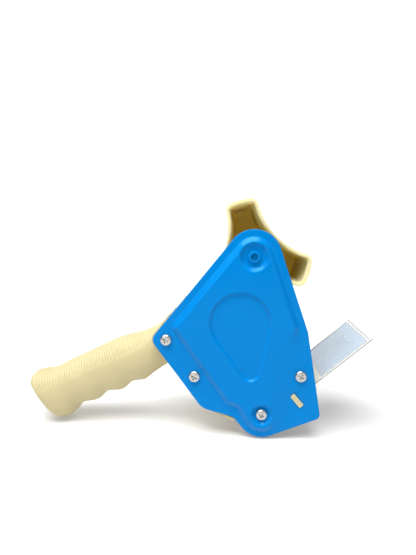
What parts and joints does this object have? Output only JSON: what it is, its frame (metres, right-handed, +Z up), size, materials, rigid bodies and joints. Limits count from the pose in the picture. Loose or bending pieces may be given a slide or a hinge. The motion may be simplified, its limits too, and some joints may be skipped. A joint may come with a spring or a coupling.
{
  "type": "hand-held packing tape dispenser",
  "caption": "Packing tape gun: steel side plate, three-armed tape hub, application roller, serrated blade, clear wiping flap and a moulded hand grip.",
  "frame": {"origin": "middle of the bounding box's base, at the height of the floor that the roller and the grip's butt stand on", "axes": "+X from the grip towards the blade and flap, +Y from the steel plate towards the open side, +Z up"},
  "size_m": [0.247, 0.0628, 0.1646],
  "materials": {
    "blue_enamel": "glossy stove enamel",
    "painted_stud": "thin blue enamel over steel",
    "cream_grip": "satin moulded plastic",
    "cream_hub": "satin moulded plastic",
    "nylon": "natural nylon",
    "zinc_steel": "bright zinc plate",
    "spring_steel": "drawn wire",
    "blade_steel": "ground steel",
    "roller_moulding": "moulded plastic",
    "roller_rubber": "matt rubber",
    "clear_flap": "clear stiff sheet"
  },
  "bodies": {
    "frame": {"side_plate": "blue_enamel", "hub_stud": "painted_stud", "hub_washer_near": "nylon", "hub_washer_far": "nylon", "tension_spring": "spring_steel", "roller_axle": "zinc_steel", "roller_spacer": "nylon", "roller_end_washer": "zinc_steel", "roller_end_screw": "zinc_steel", "roller_plate_screw": "zinc_steel", "grip_near_shell": "cream_grip", "grip_far_shell": "cream_grip", "grip_screws": "zinc_steel", "grip_plate_screws": "zinc_steel", "blade_holder": "cream_hub", "blade_holder_screw": "zinc_steel", "cutting_blade": "blade_steel", "blade_screws": "zinc_steel", "flap_tail": "clear_flap", "flap_clamp": "cream_hub", "flap_clamp_screws": "zinc_steel"},
    "hub": {"tape_hub": "cream_hub"},
    "roller": {"roller_core": "roller_moulding", "roller_sleeve": "roller_rubber"},
    "tension_cup": {"spring_cup": "zinc_steel"},
    "tension_knob": {"tension_screw": "zinc_steel"},
    "flap": {"flap_sheet": "clear_flap"}
  },
  "joints": [
    {"name": "hub_spin", "type": "hinge", "parent": "frame", "child": "hub", "pos_m": [0.04308, 0.0006, 0.1259], "axis": [0, 1, 0], "continuous": true},
    {"name": "roller_spin", "type": "hinge", "parent": "frame", "child": "roller", "pos_m": [0.04908, 0.0009, 0.018], "axis": [0, 1, 0], "continuous": true},
    {"name": "tension_slide", "type": "slide", "parent": "frame", "child": "tension_cup", "axis": [0, 1, 0], "range_m": [-0.0016, 0.0022], "deforming": ["tension_spring"]},
    {"name": "tension_screw_turn", "type": "hinge", "parent": "tension_cup", "child": "tension_knob", "pos_m": [0.04308, 0.0224, 0.1259], "axis": [0, 1, 0], "range_deg": [-725, 995]},
    {"name": "flap_flex", "type": "hinge", "parent": "frame", "child": "flap", "pos_m": [0.09055, 0.0034, 0.04287], "axis": [0, 1, 0], "range_deg": [-20, 25], "stiffness_Nm_per_rad": 0.15}
  ],
  "couplings": [
    {"joint": "tension_screw_turn", "follows": "tension_slide", "rad_per_m": 7854}
  ]
}
